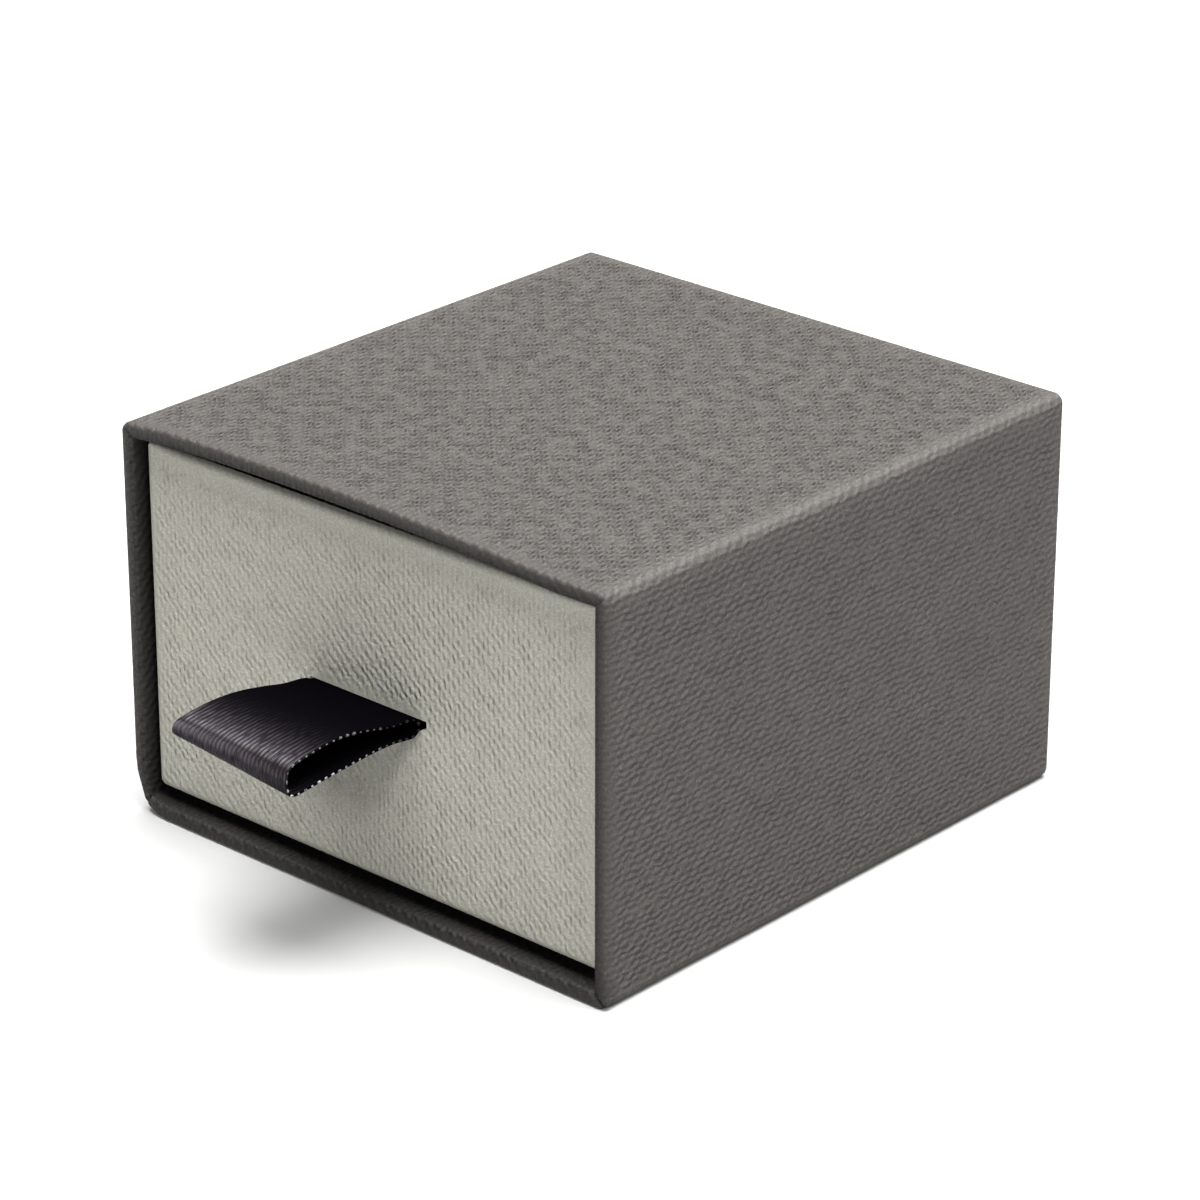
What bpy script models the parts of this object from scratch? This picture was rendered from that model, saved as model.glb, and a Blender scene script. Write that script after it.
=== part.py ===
"""Sliding drawer gift box: a board sleeve covered in dark linen paper, closed at the back, and a
pale paper-covered tray that pulls out of it by a satin ribbon loop.

Metres, +Z up. The origin is the middle of the sleeve's underside, and the drawer opens along -Y.
"""

import math

import bmesh
import bpy
from mathutils import Matrix, Vector

# Sleeve
sleeve_width = 0.056
sleeve_depth = 0.060
sleeve_height = 0.037
sleeve_edge_round = 0.001
mouth_round = 0.0004
back_round = 0.0007
mouth_turn_in = 0.012
back_flap_width = 0.010
back_paper_margin = 0.001

# Sheet stock that both shells are made of
board = 0.0008
paper = 0.0002
glue = 0.0001
board_chamfer = 0.00025
board_setback = 0.00012
tight_corner_round = 0.00025

# Room that the drawer has in the sleeve
drawer_recess = 0.0013
side_clearance = 0.00035
floor_clearance = 0.0006
top_clearance = 0.0004
back_clearance = 0.0004

# Drawer
drawer_corner_round = 0.0005
drawer_base_round = 0.001
rim_round = 0.0005
rim_turn_in = 0.010
base_flap_width = 0.008
base_paper_margin = 0.0015

# Ribbon pull
ribbon_width = 0.0127
ribbon_thickness = 0.00025
strand_gap = 0.00015
slit_end_room = 0.0005
slit_room = 0.00012
fold_line_gap = 0.0004
tail_start_gap = 0.0001
tail_length = 0.009
tail_bend_round = 0.0002
loop_reach = 0.0155
loop_height = 0.0023
tail_card = 0.0005
tail_card_drop = 0.002

# Insert
insert_clearance = 0.0003
base_card = 0.0008
pad_thickness = 0.014
pad_crown = 0.0006
pad_waist = 0.0004
pad_edge_width = 0.0016
ring_slot_length = 0.024
ring_slot_width = 0.0008
ring_slot_depth = 0.008

# Cutters pass this far beyond what they cut
overrun = 0.001
# Points this close lie on the same face
same_place = 1e-7

corner_steps = 4
bend_steps = 4
chamfer_steps = 1
ribbon_steps = 3
ribbon_columns = 5
pad_cuts = 4

# The loop seen from its side, from the upper strand at the slit round the fold and back along the
# lower strand: how far out, then how high at its right edge and at its left edge.
loop_shares = (
    (0.00, 0.087, 0.087),
    (0.12, 0.27, 0.27),
    (0.30, 0.60, 0.58),
    (0.56, 0.93, 0.92),
    (0.80, 0.86, 0.94),
    (0.95, 0.62, 0.74),
    (1.00, 0.10, 0.50),
    (0.94, -0.46, 0.26),
    (0.80, -0.42, 0.24),
    (0.55, -0.28, 0.16),
    (0.28, -0.17, 0.02),
    (0.10, -0.10, -0.07),
    (0.00, -0.087, -0.087),
)

# Worked out from the sizes above
wall = board + 2 * paper + 2 * glue
closed_end = wall + paper + glue
mouth_y = -sleeve_depth / 2
back_y = sleeve_depth / 2

drawer_width = sleeve_width - 2 * wall - 2 * side_clearance
drawer_front_y = mouth_y + drawer_recess
drawer_back_y = back_y - closed_end - back_clearance
drawer_length = drawer_back_y - drawer_front_y
drawer_middle_y = (drawer_front_y + drawer_back_y) / 2
drawer_bottom_z = wall + floor_clearance
drawer_top_z = sleeve_height - wall - top_clearance
drawer_floor_z = drawer_bottom_z + closed_end
inner_half_width = drawer_width / 2 - wall

slit_z = (drawer_bottom_z + drawer_top_z) / 2
slit_height = 2 * ribbon_thickness + strand_gap + 2 * slit_room
slit_width = ribbon_width + 2 * slit_end_room
fold_y = drawer_front_y - fold_line_gap
tail_y = drawer_front_y + wall + glue + ribbon_thickness / 2
strand_rise = (ribbon_thickness + strand_gap) / 2
tail_card_y = drawer_front_y + wall + glue + ribbon_thickness + glue

model = bpy.data.collections.new("sliding_drawer_gift_box")
cutters = bpy.data.collections.new("cutters")


def clear_scene():
    for obj in list(bpy.data.objects):
        bpy.data.objects.remove(obj, do_unlink=True)
    for collection in (model, cutters):
        bpy.context.scene.collection.children.link(collection)


def linear(*levels):
    """A colour picked by eye in 0 to 255 steps, as the linear values a shader takes."""
    shares = [level / 255 for level in levels]
    return [s / 12.92 if s <= 0.04045 else ((s + 0.055) / 1.055) ** 2.4 for s in shares] + [1]


looks = {
    "dark_paper": (linear(92, 88, 85), 0.75),
    "dark_lining": (linear(34, 32, 32), 0.85),
    "pale_paper": (linear(176, 177, 166), 0.75),
    "pale_lining": (linear(168, 168, 160), 0.85),
    "grey_board": (linear(140, 134, 124), 0.9),
    "satin": (linear(36, 31, 38), 0.4),
    "flock": (linear(40, 38, 40), 0.95),
}


def material_of(name, look):
    colour, roughness = looks[look]
    made = bpy.data.materials.new(name)
    made.use_nodes = True
    shader = made.node_tree.nodes["Principled BSDF"]
    shader.inputs["Base Color"].default_value = colour
    shader.inputs["Roughness"].default_value = roughness
    shader.inputs["Metallic"].default_value = 0
    return made


def empty(name, place, parent=None):
    holder = bpy.data.objects.new(name, None)
    holder.location = place - (world_place(parent) if parent else Vector())
    holder.parent = parent
    model.objects.link(holder)
    return holder


def world_place(obj):
    place = obj.location.copy()
    while obj.parent:
        obj = obj.parent
        place += obj.location
    return place


def piece(name, bm, look, holder):
    """The mesh as an object on its holder, with its origin where the holder is."""
    bmesh.ops.translate(bm, verts=bm.verts, vec=-world_place(holder))
    mesh = bpy.data.meshes.new(name)
    bm.to_mesh(mesh)
    bm.free()
    mesh.shade_smooth()
    mesh.set_sharp_from_angle(angle=math.radians(40))
    mesh.materials.append(material_of(name, look))
    obj = bpy.data.objects.new(name, mesh)
    obj.parent = holder
    model.objects.link(obj)
    return obj


def block(low, high):
    """A box between two corners."""
    low, high = Vector(low), Vector(high)
    bm = bmesh.new()
    bmesh.ops.create_cube(bm, size=1)
    bmesh.ops.scale(bm, verts=bm.verts, vec=high - low)
    bmesh.ops.translate(bm, verts=bm.verts, vec=(low + high) / 2)
    return bm


def soften(bm, width, steps, *tests):
    """Rounds, or with one step chamfers, each edge that has both ends where one of the tests says."""
    edges = [
        edge for edge in bm.edges if any(all(test(v.co) for v in edge.verts) for test in tests)
    ]
    bmesh.ops.bevel(bm, geom=edges, offset=width, segments=steps, profile=0.5, affect="EDGES")


def at(value, level):
    return abs(value - level) < same_place


def cutter(name, low, high):
    mesh = bpy.data.meshes.new(name)
    bm = block(low, high)
    bm.to_mesh(mesh)
    bm.free()
    obj = bpy.data.objects.new(name, mesh)
    obj.hide_render = True
    obj.display_type = "WIRE"
    cutters.objects.link(obj)
    return obj


def cut(obj, tool):
    change = obj.modifiers.new("cut " + tool.name, "BOOLEAN")
    change.operation = "DIFFERENCE"
    change.solver = "EXACT"
    change.object = tool


def ring(half_a, half_b, radius):
    """A rectangle with round corners, anticlockwise."""
    points = []
    for corner in range(4):
        side_a = 1 if corner in (0, 3) else -1
        side_b = 1 if corner in (0, 1) else -1
        for step in range(corner_steps + 1):
            angle = (corner + step / corner_steps) * math.pi / 2
            points.append(
                (
                    side_a * (half_a - radius) + radius * math.cos(angle),
                    side_b * (half_b - radius) + radius * math.sin(angle),
                )
            )
    return points


def filleted(corners):
    """The path through (inset, level, radius) corners, with each corner rounded to its radius."""
    places = [Vector(corner[:2]) for corner in corners]
    path = []
    for index, corner in enumerate(corners):
        here, radius = places[index], corner[2]
        if not radius:
            path.append(here)
            continue
        to_last = (places[index - 1] - here).normalized()
        to_next = (places[index + 1] - here).normalized()
        half = to_last.angle(to_next) / 2
        centre = here + (to_last + to_next).normalized() * radius / math.sin(half)
        start = here + to_last * radius / math.tan(half) - centre
        end = here + to_next * radius / math.tan(half) - centre
        turn = start.angle_signed(end)
        for step in range(bend_steps + 1):
            path.append(centre + Matrix.Rotation(-turn * step / bend_steps, 2) @ start)
    return path


def band(path, half_a, half_b, corner_round, place, end_face=False):
    """An open sheet round a rectangular form: one ring for each (inset, level) of its path."""
    bm = bmesh.new()
    rings = []
    for inset, level in path:
        radius = max(corner_round - inset, tight_corner_round)
        points = ring(half_a - inset, half_b - inset, radius)
        rings.append([bm.verts.new(place(a, b, level)) for a, b in points])
    count = len(rings[0])
    for first, second in zip(rings, rings[1:]):
        for i in range(count):
            j = (i + 1) % count
            bm.faces.new((first[i], first[j], second[j], second[i]))
    if end_face:
        bm.faces.new(rings[-1])
    return bm


def thicken(obj, thickness, offset=-1):
    """Gives an open sheet its thickness, behind the face it was drawn on unless offset says else."""
    change = obj.modifiers.new("sheet thickness", "SOLIDIFY")
    change.thickness = thickness
    change.offset = offset
    change.use_even_offset = True
    change.use_quality_normals = True


def in_sleeve(a, b, level):
    return (a, level, b + sleeve_height / 2)


def in_drawer(a, b, level):
    return (a, b + drawer_middle_y, level)


def sleeve_boards(holder):
    """Four walls glued edge to edge, the top and bottom over the sides, and an end over them all."""
    skin = paper + glue
    outer_x = sleeve_width / 2 - skin
    inner_x = outer_x - board
    low_z = skin
    high_z = sleeve_height - skin
    front = mouth_y + skin + board_setback
    end = back_y - skin - skin
    walls_back = end - board - glue
    long_round = sleeve_edge_round - skin

    for name, low, high, outside in (
        ("sleeve_bottom_board", low_z, low_z + board, low_z),
        ("sleeve_top_board", high_z - board, high_z, high_z),
    ):
        bm = block((-outer_x, front, low), (outer_x, walls_back, high))
        soften(bm, long_round, corner_steps, lambda p: at(abs(p.x), outer_x) and at(p.z, outside))
        piece(name, bm, "grey_board", holder)

    butt = board + glue
    for name, side in (("sleeve_left_board", -1), ("sleeve_right_board", 1)):
        near, far = sorted((side * inner_x, side * outer_x))
        bm = block((near, front, low_z + butt), (far, walls_back, high_z - butt))
        piece(name, bm, "grey_board", holder)

    bm = block((-outer_x, end - board, low_z), (outer_x, end, high_z))
    soften(
        bm,
        long_round,
        corner_steps,
        lambda p: at(p.x, outer_x) and at(p.z, low_z),
        lambda p: at(p.x, outer_x) and at(p.z, high_z),
        lambda p: at(p.x, -outer_x) and at(p.z, low_z),
        lambda p: at(p.x, -outer_x) and at(p.z, high_z),
    )
    soften(bm, board_chamfer, chamfer_steps, lambda p: at(p.y, end))
    piece("sleeve_back_board", bm, "grey_board", holder)


def sleeve_papers(holder):
    """The linen wrap, folded in over the mouth and over the back, its end paper and the lining."""
    half_x, half_z = sleeve_width / 2, sleeve_height / 2
    flap_y = back_y - paper - glue
    hem_y = mouth_y + mouth_turn_in
    path = filleted(
        (
            (back_flap_width, flap_y, 0),
            (0, flap_y, back_round),
            (0, mouth_y, mouth_round),
            (wall, mouth_y, mouth_round),
            (wall, hem_y, 0),
        )
    )
    bm = band(path, half_x, half_z, sleeve_edge_round, in_sleeve)
    thicken(piece("sleeve_wrap", bm, "dark_paper", holder), paper)

    lined_back = back_y - closed_end
    path = ((wall, hem_y + glue), (wall, lined_back))
    bm = band(path, half_x, half_z, sleeve_edge_round, in_sleeve, end_face=True)
    thicken(piece("sleeve_lining", bm, "dark_lining", holder), paper)

    edge_x, edge_z = half_x - back_paper_margin, half_z - back_paper_margin
    bm = block(
        (-edge_x, back_y - paper, half_z - edge_z),
        (edge_x, back_y, half_z + edge_z),
    )
    piece("sleeve_back_paper", bm, "dark_paper", holder)


def drawer_boards(holder):
    """A tray of five panels: front and back between the corners, sides between them, floor inside."""
    skin = paper + glue
    outer_x = drawer_width / 2 - skin
    inner_x = outer_x - board
    front = drawer_front_y + skin
    back = drawer_back_y - skin
    low_z = drawer_bottom_z + 2 * skin
    high_z = drawer_top_z - skin - board_setback
    base_round = drawer_base_round - skin
    slit = cutter(
        "ribbon_slit",
        (-slit_width / 2, drawer_front_y - overrun, slit_z - slit_height / 2),
        (slit_width / 2, drawer_front_y + wall + overrun, slit_z + slit_height / 2),
    )

    for name, near, far, outside in (
        ("drawer_front_board", front, front + board, front),
        ("drawer_back_board", back - board, back, back),
    ):
        bm = block((-outer_x, near, low_z), (outer_x, far, high_z))
        soften(
            bm,
            base_round,
            bend_steps,
            lambda p: at(p.z, low_z) and at(p.y, outside),
            lambda p: at(p.z, low_z) and at(p.x, outer_x),
            lambda p: at(p.z, low_z) and at(p.x, -outer_x),
        )
        soften(
            bm, board_chamfer, chamfer_steps, lambda p: at(abs(p.x), outer_x) and at(p.y, outside)
        )
        panel = piece(name, bm, "grey_board", holder)
        if name == "drawer_front_board":
            cut(panel, slit)

    for name, side in (("drawer_left_board", -1), ("drawer_right_board", 1)):
        near, far = sorted((side * inner_x, side * outer_x))
        bm = block((near, front + board + glue, low_z), (far, back - board - glue, high_z))
        soften(bm, base_round, bend_steps, lambda p: at(abs(p.x), outer_x) and at(p.z, low_z))
        piece(name, bm, "grey_board", holder)

    bm = block(
        (-inner_x + glue, front + board + glue, low_z),
        (inner_x - glue, back - board - glue, low_z + board),
    )
    piece("drawer_bottom_board", bm, "grey_board", holder)
    return slit


def drawer_papers(holder, slit):
    """The linen wrap, over the rim and under the floor, its base paper and the lining inside."""
    half_x, half_y = drawer_width / 2, drawer_length / 2
    flap_z = drawer_bottom_z + paper + glue
    hem_z = drawer_top_z - rim_turn_in
    path = filleted(
        (
            (base_flap_width, flap_z, 0),
            (0, flap_z, drawer_base_round),
            (0, drawer_top_z, rim_round),
            (wall, drawer_top_z, rim_round),
            (wall, hem_z, 0),
        )
    )
    bm = band(path, half_x, half_y, drawer_corner_round, in_drawer)
    wrap = piece("drawer_wrap", bm, "pale_paper", holder)
    thicken(wrap, paper)
    cut(wrap, slit)

    path = ((wall, hem_z - glue), (wall, drawer_floor_z - paper))
    bm = band(path, half_x, half_y, drawer_corner_round, in_drawer)
    lining = piece("drawer_lining", bm, "pale_lining", holder)
    thicken(lining, paper)
    cut(lining, slit)

    edge_x, edge_y = half_x - base_paper_margin, half_y - base_paper_margin
    bm = block(
        (-edge_x, drawer_middle_y - edge_y, drawer_bottom_z),
        (edge_x, drawer_middle_y + edge_y, drawer_bottom_z + paper),
    )
    piece("drawer_base_paper", bm, "pale_paper", holder)

    edge_x, edge_y = inner_half_width - glue, half_y - wall - glue
    bm = block(
        (-edge_x, drawer_middle_y - edge_y, drawer_floor_z - paper),
        (edge_x, drawer_middle_y + edge_y, drawer_floor_z),
    )
    piece("drawer_floor_paper", bm, "pale_lining", holder)


def smooth_through(points, steps):
    """A smooth curve through the points, with this many steps from each to the next."""
    ends = [2 * points[0] - points[1]] + list(points) + [2 * points[-1] - points[-2]]
    curve = []
    for before, start, end, after in zip(ends, ends[1:], ends[2:], ends[3:]):
        for step in range(steps):
            t = step / steps
            curve.append(
                (
                    2 * start
                    + (end - before) * t
                    + (2 * before - 5 * start + 4 * end - after) * t**2
                    + (3 * start - before - 3 * end + after) * t**3
                )
                / 2
            )
    return curve + [points[-1]]


def strip(columns):
    """An open strip of ribbon from the paths along it, from its left edge to its right edge."""
    bm = bmesh.new()
    rows = [[bm.verts.new(point) for point in column] for column in columns]
    for left, right in zip(rows, rows[1:]):
        for i in range(len(left) - 1):
            bm.faces.new((left[i], right[i], right[i + 1], left[i + 1]))
    return bm


def ribbon_loop(holder):
    columns = []
    for index in range(ribbon_columns):
        across = index / (ribbon_columns - 1)
        x = (across - 1 / 2) * ribbon_width
        points = []
        for out, right_high, left_high in loop_shares:
            high = left_high + (right_high - left_high) * across
            points.append(Vector((x, fold_y - out * loop_reach, slit_z + high * loop_height)))
        columns.append(smooth_through(points, ribbon_steps))
    thicken(piece("ribbon_loop", strip(columns), "satin", holder), ribbon_thickness, offset=0)


def ribbon_tails(holder):
    """The two ends of the ribbon, through the slit and glued up and down the front's inside."""
    for name, side in (("ribbon_tail_upper", 1), ("ribbon_tail_lower", -1)):
        path = filleted(
            (
                (drawer_front_y + tail_start_gap, strand_rise, 0),
                (tail_y, strand_rise, tail_bend_round),
                (tail_y, strand_rise + tail_length, 0),
            )
        )
        columns = []
        for x in (-ribbon_width / 2, ribbon_width / 2):
            columns.append([Vector((x, y, slit_z + side * rise)) for y, rise in path])
        thicken(piece(name, strip(columns), "satin", holder), ribbon_thickness, offset=0)

    edge_x = inner_half_width - insert_clearance
    bm = block(
        (-edge_x, tail_card_y, drawer_floor_z + glue),
        (edge_x, tail_card_y + tail_card, drawer_top_z - tail_card_drop),
    )
    piece("ribbon_cover_card", bm, "pale_lining", holder)


def insert(holder):
    """A flocked foam pad with a slot for a ring, on a card of its own."""
    edge_x = inner_half_width - insert_clearance
    front = tail_card_y + tail_card + insert_clearance
    back = drawer_back_y - wall - insert_clearance
    card_z = drawer_floor_z + glue
    bm = block((-edge_x, front, card_z), (edge_x, back, card_z + base_card))
    piece("insert_base_card", bm, "grey_board", holder)

    foot_z = card_z + base_card + glue
    middle = Vector((0, (front + back) / 2, foot_z + pad_thickness / 2))
    half = Vector((edge_x, (back - front) / 2, pad_thickness / 2))
    bm = bmesh.new()
    bmesh.ops.create_cube(bm, size=2)
    bmesh.ops.subdivide_edges(bm, edges=bm.edges, cuts=pad_cuts, use_grid_fill=True)
    last_cut_share = 1 - 2 / (pad_cuts + 1)
    for vert in bm.verts:
        shares = vert.co.copy()
        for axis in range(3):
            size = abs(shares[axis])
            if at(size, last_cut_share):
                shares[axis] *= (1 - pad_edge_width / half[axis]) / last_cut_share
        swell = (1 - shares.x**2) * (1 - shares.y**2)
        vert.co = Vector(
            (
                shares.x * (half.x - pad_waist * (1 - shares.y**2) * abs(shares.x)),
                shares.y * (half.y - pad_waist * (1 - shares.x**2) * abs(shares.y)),
                shares.z * half.z + (pad_crown * swell if shares.z > 0 else 0),
            )
        ) + middle
    pad = piece("insert_pad", bm, "flock", holder)
    smooth = pad.modifiers.new("soft edges", "SUBSURF")
    smooth.levels = 1
    smooth.render_levels = 1
    top_z = foot_z + pad_thickness + pad_crown
    slot = cutter(
        "ring_slot",
        (-ring_slot_length / 2, middle.y - ring_slot_width / 2, top_z - ring_slot_depth),
        (ring_slot_length / 2, middle.y + ring_slot_width / 2, top_z + overrun),
    )
    cut(pad, slot)


def build():
    clear_scene()
    sleeve = empty("sleeve", Vector())
    drawer = empty("drawer", Vector((0, drawer_front_y, slit_z)))
    fold = empty("ribbon_fold", Vector((0, fold_y, slit_z)), drawer)
    sleeve_boards(sleeve)
    sleeve_papers(sleeve)
    slit = drawer_boards(drawer)
    drawer_papers(drawer, slit)
    ribbon_tails(drawer)
    ribbon_loop(fold)
    insert(drawer)
    bpy.context.view_layer.update()


build()
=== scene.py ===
import math

import bmesh
import bpy
from mathutils import Matrix, Vector, noise


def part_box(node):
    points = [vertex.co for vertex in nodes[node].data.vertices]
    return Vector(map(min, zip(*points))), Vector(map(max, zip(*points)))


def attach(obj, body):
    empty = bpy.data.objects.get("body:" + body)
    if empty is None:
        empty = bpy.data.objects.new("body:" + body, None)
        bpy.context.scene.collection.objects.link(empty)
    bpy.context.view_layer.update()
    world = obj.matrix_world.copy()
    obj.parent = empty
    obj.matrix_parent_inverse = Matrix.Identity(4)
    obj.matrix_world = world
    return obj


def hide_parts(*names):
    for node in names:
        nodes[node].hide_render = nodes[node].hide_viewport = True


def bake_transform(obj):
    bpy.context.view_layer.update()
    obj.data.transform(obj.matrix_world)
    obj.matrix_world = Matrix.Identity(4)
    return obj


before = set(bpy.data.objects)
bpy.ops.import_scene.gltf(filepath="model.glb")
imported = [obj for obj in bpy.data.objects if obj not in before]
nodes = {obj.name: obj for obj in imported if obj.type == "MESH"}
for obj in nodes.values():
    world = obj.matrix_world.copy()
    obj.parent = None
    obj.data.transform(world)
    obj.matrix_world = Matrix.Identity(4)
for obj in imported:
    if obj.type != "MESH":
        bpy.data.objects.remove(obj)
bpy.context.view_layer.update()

scene = bpy.context.scene
mm = 0.001


# Camera and studio

camera = {
    "place": (0.250255, -0.277062, 0.182492),
    "target": (0.000267, 0.0, 0.018805),
    "roll": math.radians(0.075),
    "lens": 139.399,
    "sensor": 36.0,
    "clip": (0.01, 50),
}

studio = {
    "floorWidth": 8.0,
    "floorShade": (0.34, 0.34, 0.338),
    "skyShade": (0.15, 0.15, 0.15),       # overhead, between the lamps
    "wallShade": (0.2, 0.2, 0.2),         # the pale wall round the table
    # sines of the heights where the wall begins to fade, and has faded
    "wallTop": 0.16,
    "wallEnd": 0.42,
    "topPower": 13.1,
    "topTurn": (math.radians(-3), math.radians(4)),
    "topSoftness": math.radians(50),
    "keyLamp": {"place": (0.9, -0.2, 0.8), "width": 0.4, "power": 5.0},
    "frontLamp": {"place": (0.4, -0.95, 0.6), "width": 0.2, "power": 7.4},
    "lampTarget": (0, 0, 0.018),
}


def makeCamera():
    data = bpy.data.cameras.new("boxCamera")
    data.lens = camera["lens"]
    data.sensor_width = camera["sensor"]
    data.clip_start, data.clip_end = camera["clip"]
    made = bpy.data.objects.new("boxCamera", data)
    place, target = Vector(camera["place"]), Vector(camera["target"])
    ahead = (target - place).normalized()
    right = ahead.cross(Vector((0, 0, 1))).normalized()
    up = right.cross(ahead)
    turn = camera["roll"]
    right, up = (
        right * math.cos(turn) + up * math.sin(turn),
        up * math.cos(turn) - right * math.sin(turn),
    )
    axes = Matrix((right, up, -ahead)).transposed().to_4x4()
    made.matrix_world = Matrix.Translation(place) @ axes
    scene.collection.objects.link(made)
    scene.camera = made


def areaLamp(name):
    lamp = studio[name]
    data = bpy.data.lights.new(name, "AREA")
    data.shape = "SQUARE"
    data.size = lamp["width"]
    data.energy = lamp["power"]
    made = bpy.data.objects.new(name, data)
    made.location = lamp["place"]
    ahead = Vector(studio["lampTarget"]) - Vector(lamp["place"])
    made.rotation_euler = ahead.to_track_quat("-Z", "Y").to_euler()
    scene.collection.objects.link(made)


def makeStudio():
    data = bpy.data.lights.new("topLamp", "SUN")
    data.energy = studio["topPower"]
    data.angle = studio["topSoftness"]
    lamp = bpy.data.objects.new("topLamp", data)
    lamp.rotation_euler = (*studio["topTurn"], 0)
    scene.collection.objects.link(lamp)
    areaLamp("keyLamp")
    areaLamp("frontLamp")

    world = bpy.data.worlds.new("studioWorld")
    world.use_nodes = True
    tree = world.node_tree
    tree.nodes.clear()
    direction = tree.nodes.new("ShaderNodeTexCoord").outputs["Generated"]
    height = split(tree, direction)["Z"]
    fade = spread(tree, height, 0, 1, studio["wallTop"], studio["wallEnd"], smooth=True)
    background = tree.nodes.new("ShaderNodeBackground")
    shade = blendColours(tree, fade, studio["wallShade"], studio["skyShade"])
    tree.links.new(shade, background.inputs["Color"])
    end = tree.nodes.new("ShaderNodeOutputWorld")
    tree.links.new(background.outputs[0], end.inputs["Surface"])
    scene.world = world
    scene.view_settings.view_transform = "Standard"
    scene.view_settings.look = "None"

    mesh = bpy.data.meshes.new("tableTop")
    half = studio["floorWidth"] / 2
    corners = [(-half, -half, 0), (half, -half, 0), (half, half, 0), (-half, half, 0)]
    mesh.from_pydata(corners, [], [(0, 1, 2, 3)])
    floor = bpy.data.objects.new("tableTop", mesh)
    scene.collection.objects.link(floor)
    floor.data.materials.append(tableFinish())


# Node trees, in a few words

def feed(tree, socket, value):
    if isinstance(value, bpy.types.NodeSocket):
        tree.links.new(value, socket)
    else:
        socket.default_value = value


def maths(tree, operation, *values):
    node = tree.nodes.new("ShaderNodeMath")
    node.operation = operation
    for socket, value in zip(node.inputs, values):
        feed(tree, socket, value)
    return node.outputs[0]


def plus(tree, first, second):
    return maths(tree, "ADD", first, second)


def times(tree, first, second):
    return maths(tree, "MULTIPLY", first, second)


def tinted(tree, colour, share):
    return blendColours(tree, 1.0, colour, joined(tree, share, share, share), "MULTIPLY")


def joined(tree, x, y, z=0.0):
    node = tree.nodes.new("ShaderNodeCombineXYZ")
    for socket, value in zip(node.inputs, (x, y, z)):
        feed(tree, socket, value)
    return node.outputs[0]


def mottle(tree, vector, scale, detail=2.0, roughness=0.5):
    node = tree.nodes.new("ShaderNodeTexNoise")
    feed(tree, node.inputs["Vector"], vector)
    node.inputs["Scale"].default_value = scale
    node.inputs["Detail"].default_value = detail
    node.inputs["Roughness"].default_value = roughness
    return node.outputs["Fac"]


def speckle(tree, vector):
    node = tree.nodes.new("ShaderNodeTexWhiteNoise")
    node.noise_dimensions = "2D"
    feed(tree, node.inputs["Vector"], vector)
    return node.outputs["Value"]


def spread(tree, value, low, high, fromLow=0.0, fromHigh=1.0, smooth=False):
    node = tree.nodes.new("ShaderNodeMapRange")
    node.interpolation_type = "SMOOTHSTEP" if smooth else "LINEAR"
    feed(tree, node.inputs["Value"], value)
    ends = {"From Min": fromLow, "From Max": fromHigh, "To Min": low, "To Max": high}
    for name, end in ends.items():
        node.inputs[name].default_value = end
    return node.outputs["Result"]


def blendColours(tree, share, first, second, way="MIX"):
    node = tree.nodes.new("ShaderNodeMix")
    node.data_type = "RGBA"
    node.blend_type = way
    sockets = {socket.name: socket for socket in node.inputs if socket.type == "RGBA"}
    feed(tree, node.inputs["Factor"], share)
    for name, colour in (("A", first), ("B", second)):
        linked = isinstance(colour, bpy.types.NodeSocket)
        feed(tree, sockets[name], colour if linked else (*colour, 1))
    return [socket for socket in node.outputs if socket.type == "RGBA"][0]


def bumped(tree, height, depth, strength=1.0):
    node = tree.nodes.new("ShaderNodeBump")
    node.inputs["Distance"].default_value = depth
    feed(tree, node.inputs["Height"], height)
    feed(tree, node.inputs["Strength"], strength)
    return node.outputs["Normal"]


def startMaterial(name):
    made = bpy.data.materials.new(name)
    made.use_nodes = True
    tree = made.node_tree
    return made, tree, tree.nodes["Principled BSDF"]


def dress(tree, shader, colour, roughness, specular, normal):
    feed(tree, shader.inputs["Base Color"], colour)
    feed(tree, shader.inputs["Roughness"], roughness)
    feed(tree, shader.inputs["Specular IOR Level"], specular)
    feed(tree, shader.inputs["Normal"], normal)


def objectPlace(tree):
    return tree.nodes.new("ShaderNodeTexCoord").outputs["Object"]


def split(tree, vector):
    node = tree.nodes.new("ShaderNodeSeparateXYZ")
    feed(tree, node.inputs[0], vector)
    return node.outputs


def flatPlace(tree, source):
    # the two ways along a sheet, in metres: from its own map, or from two of the object's axes
    if source == "map":
        node = tree.nodes.new("ShaderNodeUVMap")
        node.uv_map = "sheetMap"
        parts = split(tree, node.outputs["UV"])
        return parts["X"], parts["Y"]
    parts = split(tree, objectPlace(tree))
    return parts[source[0]], parts[source[1]]


def attribute(tree, name):
    node = tree.nodes.new("ShaderNodeAttribute")
    node.attribute_name = name
    return node.outputs["Fac"]


# Finishes

noiseEnds = (0.3, 0.7)      # nearly all of a noise node's values lie between these

darkLinen = {
    "rowPitch": 0.64 * mm,
    "stepPitch": 1.3 * mm,
    "wander": (0.5, 0.35),      # how far rows and steps stray, in pitches
    # heights of the cords along the sheet and of the two waves that slant across them
    "waves": (0.9, 1.2, 0.1),
    "grain": 1.4,               # and of the uneven ground
    "depth": 0.14 * mm,
    "shade": (0.0643, 0.0594, 0.0554),
    "roughness": (0.6, 0.45),
    # how far random tone, the painted relief shade and the painted glints move the colour
    "toneAndPaintedLightRange": 0.05,
}

paleLinen = {
    "rowPitch": 0.56 * mm,
    "stepPitch": 1.17 * mm,
    "wander": (0.5, 0.35),
    "waves": (0.9, 1.0, 0.15),
    "grain": 1.8,
    "depth": 0.056 * mm,
    "shade": (0.281, 0.277, 0.24),
    "roughness": (0.75, 0.6),
    "toneAndPaintedLightRange": 0.03,
}

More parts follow.
